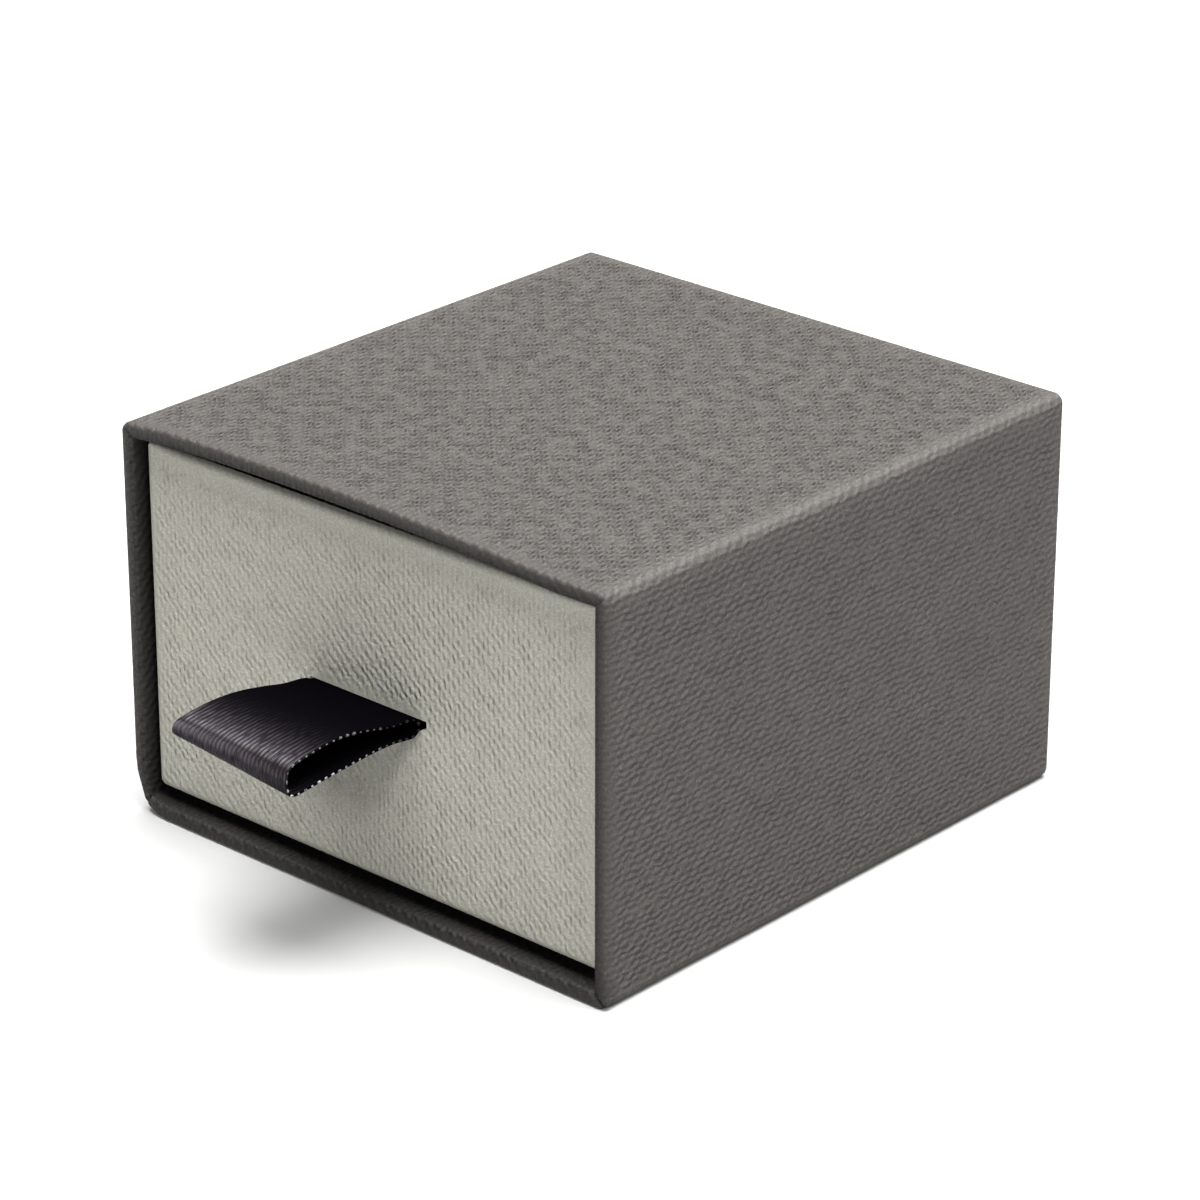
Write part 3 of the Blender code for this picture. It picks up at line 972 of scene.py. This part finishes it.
ribbon = {
    "width": 12.7 * mm,
    "cutLength": 54.5 * mm,
    "thickness": 0.25 * mm,
    "strandRise": 0.3 * mm,
    "tailLength": 9 * mm,
    "tailBend": 0.22 * mm,
    "steps": (8, 5, 3),         # along the glued tail, round its bend and through the slit
    "strandEnd": 0.25 * mm,     # from the end of the straight run in the slit to the fold line
    "foldLine": 0.4 * mm,       # from the drawer's front to the line it folds on
    "reach": 15.5 * mm,
    "height": 2.3 * mm,
    "skew": 0.035,              # how much further out the loop's left end lies
    "loopSteps": 6,
    "ribs": 29,
    "ribSteps": 4,
    "ribHeight": 0.012 * mm,
    "pointGap": 0.32 * mm,
    # as shares of the reach: the painted sheen (which also sets the gloss), the rubbed fold and the
    # painted shade of the crease
    "paintedSheenEnds": (0.12, 0.95),
    "paintedSheenPower": 8,
    "paintedSheenBelow": 0.15,
    "wornEnds": (0.975, 0.99),
    "creaseLine": 0.968,
    "creaseWidth": 0.018,
    "paintedCreaseShadeStrength": 0.95,
    "beadPitch": 0.78 * mm,
    "beadSize": (0.44 * mm, 0.24 * mm, 0.28 * mm),
    "beadChange": 0.5,
    "beadSeed": 11,
    "beadStart": 0.2 * mm,
    "blendEnds": (0.2 * mm, -2.4 * mm),     # where it bends, from the drawer's front
}

# how far out, right edge's height, left edge's height, from the upper strand round to the lower
loopShares = (
    (0.00, 0.130, 0.130),
    (0.022, 0.30, 0.24),
    (0.07, 0.40, 0.32),
    (0.20, 0.47, 0.43),
    (0.34, 0.67, 0.65),
    (0.48, 0.86, 0.84),
    (0.60, 0.94, 0.94),
    (0.72, 0.92, 0.97),
    (0.83, 0.84, 0.93),
    (0.91, 0.76, 0.87),
    (0.955, 0.69, 0.82),
    (0.984, 0.57, 0.74),
    (0.997, 0.30, 0.61),
    (1.000, 0.02, 0.50),
    (0.992, -0.22, 0.40),
    (0.972, -0.42, 0.31),
    (0.935, -0.49, 0.26),
    (0.86, -0.46, 0.22),
    (0.74, -0.38, 0.19),
    (0.55, -0.28, 0.14),
    (0.38, -0.20, 0.07),
    (0.22, -0.18, -0.04),
    (0.10, -0.27, -0.13),
    (0.035, -0.30, -0.15),
    (0.00, -0.130, -0.130),
)


def smoothThrough(points, steps):
    ends = [2 * points[0] - points[1]] + list(points) + [2 * points[-1] - points[-2]]
    curve = []
    for before, start, end, after in zip(ends, ends[1:], ends[2:], ends[3:]):
        for step in range(steps):
            t = step / steps
            square = 2 * before - 5 * start + 4 * end - after
            cube = 3 * start - before - 3 * end + after
            curve.append((2 * start + (end - before) * t + square * t**2 + cube * t**3) / 2)
    return curve + [points[-1]]


def ribbonPath(acrossShare):
    # one thread of the ribbon from its upper glued end to its lower one, as (y, z)
    front = drawerLow.y
    foldY = front - ribbon["foldLine"]
    tailY = front + sleeve["wall"] + sleeve["glue"] + ribbon["thickness"] / 2
    bend, rise = ribbon["tailBend"], ribbon["strandRise"]
    tailSteps, bendSteps, strandSteps = ribbon["steps"]
    upper = []
    for step in range(tailSteps + 1):
        run = ribbon["tailLength"] - (ribbon["tailLength"] - bend) * step / tailSteps
        upper.append(Vector((tailY, rise + run)))
    for step in range(1, bendSteps):
        angle = step / bendSteps * math.pi / 2
        inward, up = bend * math.cos(angle), bend * math.sin(angle)
        upper.append(Vector((tailY - bend + inward, rise + bend - up)))
    run = foldY + ribbon["strandEnd"] - tailY + bend
    for step in range(strandSteps + 1):
        upper.append(Vector((tailY - bend + run * step / strandSteps, rise)))
    lower = [Vector((point.x, -point.y)) for point in reversed(upper)]
    points = []
    for out, right, left in loopShares:
        high = left + (right - left) * acrossShare
        skew = (0.5 - acrossShare) * ribbon["skew"] * out
        points.append(Vector((foldY - (out + skew) * ribbon["reach"], high * ribbon["height"])))
    loop = smoothThrough(points, ribbon["loopSteps"])
    return [Vector((point.x, point.y + slitLevel)) for point in upper + loop + lower]


def evenly(path, count):
    travelled = travelAlong(path)
    spots, index = [], 0
    for step in range(count + 1):
        aim = travelled[-1] * step / count
        while index < len(path) - 2 and travelled[index + 1] < aim:
            index += 1
        gap = travelled[index + 1] - travelled[index]
        share = (aim - travelled[index]) / gap if gap else 0
        spots.append(path[index].lerp(path[index + 1], share))
    return spots, travelled[-1]


def makeRibbon():
    columns = ribbon["ribs"] * ribbon["ribSteps"]
    middleLength = evenly(ribbonPath(0.5), 10)[1]
    count = round(middleLength / ribbon["pointGap"])
    bm = bmesh.new()
    sheetMap = bm.loops.layers.uv.new("sheetMap")
    rows = []
    for column in range(columns + 1):
        share = column / columns
        x = (share - 0.5) * ribbon["width"]
        spots = evenly(ribbonPath(share), count)[0]
        line = []
        for index, spot in enumerate(spots):
            before, after = spots[max(0, index - 1)], spots[min(count, index + 1)]
            ahead = (after - before).normalized()
            lift = ribbon["ribHeight"] * math.cos(2 * math.pi * share * ribbon["ribs"])
            line.append(bm.verts.new((x, spot.x - ahead.y * lift, spot.y + ahead.x * lift)))
        rows.append(line)
    for column in range(columns):
        for index in range(count):
            left, right = rows[column], rows[column + 1]
            face = bm.faces.new((left[index], right[index], right[index + 1], left[index + 1]))
            for loop, (addColumn, addIndex) in zip(face.loops, ((0, 0), (1, 0), (1, 1), (0, 1))):
                spot = (column + addColumn) / columns, (index + addIndex) / count
                loop[sheetMap].uv = (spot[0] * ribbon["width"], spot[1] * middleLength)
    pull = objectFrom("ribbonPull", bm)
    # the threads get more painted sheen and gloss the further out they lie, the lower strand less,
    # and are rubbed pale below the pressed crease, along which shade is painted
    worn, glossAndPaintedSheen, paintedCreaseShade = (
        pull.data.attributes.new(name, "FLOAT", "POINT") for name in ("worn", "glossAndPaintedSheen", "paintedCreaseShade")
    )
    foldY = drawerLow.y - ribbon["foldLine"]
    paintedSheenStart, paintedSheenEnd = ribbon["paintedSheenEnds"]
    wornStart, wornEnd = ribbon["wornEnds"]
    for index, vert in enumerate(pull.data.vertices):
        out = (foldY - vert.co.y) / ribbon["reach"]
        upper = index % (count + 1) < count / 2
        share = max(0.0, min(1.0, (out - paintedSheenStart) / (paintedSheenEnd - paintedSheenStart)))
        side = 1 if upper else ribbon["paintedSheenBelow"]
        glossAndPaintedSheen.data[index].value = side * share ** ribbon["paintedSheenPower"]
        worn.data[index].value = max(0.0, min(1.0, (out - wornStart) / (wornEnd - wornStart)))
        if upper:
            away = (out - ribbon["creaseLine"]) / ribbon["creaseWidth"]
            paintedCreaseShade.data[index].value = ribbon["paintedCreaseShadeStrength"] * math.exp(-(away**2))
    thickened(pull, ribbon["thickness"], offset=0)
    smoothShaded(pull, angle=60)
    print("ribbon:", round(middleLength / mm, 2), "mm long")
    return pull


def selvedgeTree(material):
    # beads of doubled thread along the ribbon's two edges
    tree = bpy.data.node_groups.new("selvedgeBeads", "GeometryNodeTree")
    face = tree.interface
    face.new_socket("Geometry", in_out="INPUT", socket_type="NodeSocketGeometry")
    names = {}
    for name in ("Pitch", "Length", "Width", "Height", "Change"):
        socket = face.new_socket(name, in_out="INPUT", socket_type="NodeSocketFloat")
        names[name] = socket.identifier
    face.new_socket("Geometry", in_out="OUTPUT", socket_type="NodeSocketGeometry")
    start = tree.nodes.new("NodeGroupInput")
    end = tree.nodes.new("NodeGroupOutput")
    add, link = tree.nodes.new, tree.links.new
    line = add("GeometryNodeMeshToCurve")
    link(start.outputs["Geometry"], line.inputs[0])
    spaced = add("GeometryNodeResampleCurve")
    spaced.mode = "LENGTH"
    link(line.outputs[0], spaced.inputs["Curve"])
    link(start.outputs["Pitch"], spaced.inputs["Length"])
    tangent = add("GeometryNodeInputTangent")
    turn = add("FunctionNodeAlignRotationToVector")
    turn.axis = "X"
    link(tangent.outputs[0], turn.inputs["Vector"])
    bead = add("GeometryNodeMeshIcoSphere")
    bead.inputs["Radius"].default_value = 0.5
    bead.inputs["Subdivisions"].default_value = 2
    size = joined(tree, *(start.outputs[name] for name in ("Length", "Width", "Height")))
    chance = add("FunctionNodeRandomValue")
    chance.data_type = "FLOAT"
    floats = [socket for socket in chance.inputs if socket.type == "VALUE"]
    link(maths(tree, "SUBTRACT", 1, start.outputs["Change"]), floats[0])
    floats[1].default_value = 1.0
    chance.inputs["Seed"].default_value = ribbon["beadSeed"]
    scaled = add("ShaderNodeVectorMath")
    scaled.operation = "SCALE"
    link(size, scaled.inputs[0])
    link([socket for socket in chance.outputs if socket.type == "VALUE"][0], scaled.inputs["Scale"])
    placed = add("GeometryNodeInstanceOnPoints")
    link(spaced.outputs[0], placed.inputs["Points"])
    link(bead.outputs["Mesh"], placed.inputs["Instance"])
    link(turn.outputs[0], placed.inputs["Rotation"])
    link(scaled.outputs[0], placed.inputs["Scale"])
    real = add("GeometryNodeRealizeInstances")
    link(placed.outputs[0], real.inputs[0])
    painted = add("GeometryNodeSetMaterial")
    painted.inputs["Material"].default_value = material
    link(real.outputs[0], painted.inputs["Geometry"])
    link(painted.outputs[0], end.inputs[0])
    return tree, names


def makeSelvedge():
    bm = bmesh.new()
    for share in (0.0, 1.0):
        start = drawerLow.y - ribbon["beadStart"]
        path = [point for point in ribbonPath(share) if point.x < start]
        x = (share - 0.5) * ribbon["width"]
        line = [bm.verts.new((x, point.x, point.y)) for point in path]
        for pair in zip(line, line[1:]):
            bm.edges.new(pair)
    beads = objectFrom("ribbonSelvedge", bm)
    material = selvedgeFinish("selvedge")
    tree, names = selvedgeTree(material)
    change = beads.modifiers.new("beads", "NODES")
    change.node_group = tree
    values = {"Pitch": ribbon["beadPitch"], "Change": ribbon["beadChange"]}
    values.update(zip(("Length", "Width", "Height"), ribbon["beadSize"]))
    for name, value in values.items():
        change[names[name]] = value
    applied(beads)
    beads.data.shade_smooth()
    return beads, material


def makeRibbonPull():
    pull = makeRibbon()
    beads, beadMaterial = makeSelvedge()
    finished(pull, satinFinish("satin"))
    finished(beads, beadMaterial)
    for piece in (pull, beads):
        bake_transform(piece)
    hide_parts("ribbon_loop", "ribbon_tail_upper", "ribbon_tail_lower")


# Insert pad

pad = {
    "crown": 0.6 * mm,
    "waist": 0.4 * mm,
    "edgeRound": 1.5 * mm,
    "slotLength": 24 * mm,
    "slotWidth": 0.9 * mm,
    "slotDepth": 8 * mm,
    "lipDip": 0.35 * mm,
    "lipReach": 1.4 * mm,
    "cuts": 47,
    "crowding": 0.55,           # how much closer the rows of points lie near the edges
    "footRound": 0.25,          # rounding at the foot, as a share of edgeRound
    "nap": 0.05 * mm,
    "napScale": 900,
    "napStart": 0.4 * mm,
}


def makeInsertPad():
    low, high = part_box("insert_pad")
    middle = (low + high) / 2
    top = high.z - pad["crown"]
    half = Vector(((high.x - low.x) / 2, (high.y - low.y) / 2, (top - low.z) / 2))
    middle.z = (top + low.z) / 2
    bm = bmesh.new()
    bmesh.ops.create_cube(bm, size=2)
    bmesh.ops.subdivide_edges(bm, edges=bm.edges, cuts=pad["cuts"], use_grid_fill=True)
    edge = pad["edgeRound"]
    for vert in bm.verts:
        share = vert.co.copy()
        # close rows of points near the edges, for their rounding
        for axis in range(3):
            value = abs(share[axis])
            close = math.sin(value * math.pi / 2) * pad["crowding"] + value * (1 - pad["crowding"])
            share[axis] = math.copysign(close, share[axis])
        spot = share * half
        room = half - Vector((edge, edge, edge))
        core = Vector([max(-room[axis], min(room[axis], spot[axis])) for axis in range(3)])
        if share.z < 0:
            core.z = max(-half.z + edge * pad["footRound"], spot.z)
        away = spot - core
        if away.length > edge:
            away = away.normalized() * edge
        spot = core + away
        flatX, flatY = spot.x / half.x, spot.y / half.y
        spot.x -= math.copysign(pad["waist"] * (1 - flatY**2) * flatX**2, spot.x)
        spot.y -= math.copysign(pad["waist"] * (1 - flatX**2) * flatY**2, spot.y)
        if share.z > 0:
            rise = (1 - flatX**2) * (1 - flatY**2)
            pastSlot = (abs(spot.x) - pad["slotLength"] / 2) / mm
            dip = math.exp(-((spot.y / pad["lipReach"]) ** 2)) / (1 + math.exp(pastSlot))
            spot.z += (pad["crown"] * rise - pad["lipDip"] * dip) * share.z
        vert.co = spot + middle
    body = objectFrom("insertPad", bm)
    slot = (pad["slotLength"], pad["slotWidth"], 2 * pad["slotDepth"])
    cutWith(body, slot, (0, middle.y, high.z))
    for vert in body.data.vertices:
        if vert.co.z > low.z + pad["napStart"]:
            vert.co -= vert.normal * pad["nap"] * slowNoise(vert.co, pad["napScale"], (0, 0, 0))
    smoothShaded(body, angle=50)
    finished(body, flockFinish("flock"), "drawer")
    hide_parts("insert_pad")


# Pieces whose CAD shape stays

def finishFrameNodes():
    boards = ("sleeve_right_board", "sleeve_back_board", "drawer_back_board", "drawer_left_board",
              "drawer_right_board", "drawer_bottom_board", "insert_base_card")
    keep = dict.fromkeys(boards, greyBoardFinish("greyBoard"))
    keep.update({
        "sleeve_back_paper": linenFinish("darkLinenBack", darkLinen, "XZ"),
        "sleeve_lining": smoothPaperFinish("darkLining", "dark", 0.25),
        "drawer_base_paper": linenFinish("paleLinenBase", paleLinen, "XY"),
        "drawer_lining": smoothPaperFinish("paleLining", "pale", 0.08),
        "drawer_floor_paper": smoothPaperFinish("paleFloorLining", "pale", 0.08),
        "ribbon_cover_card": smoothPaperFinish("paleCard", "card", 0.06),
    })
    for name, material in keep.items():
        for place in nodes[name].material_slots:
            place.material = material


makeCamera()
makeStudio()
makeSleeveWrap()
makeDrawerWrap()
makeRibbonPull()
makeInsertPad()
finishFrameNodes()

bpy.context.view_layer.update()
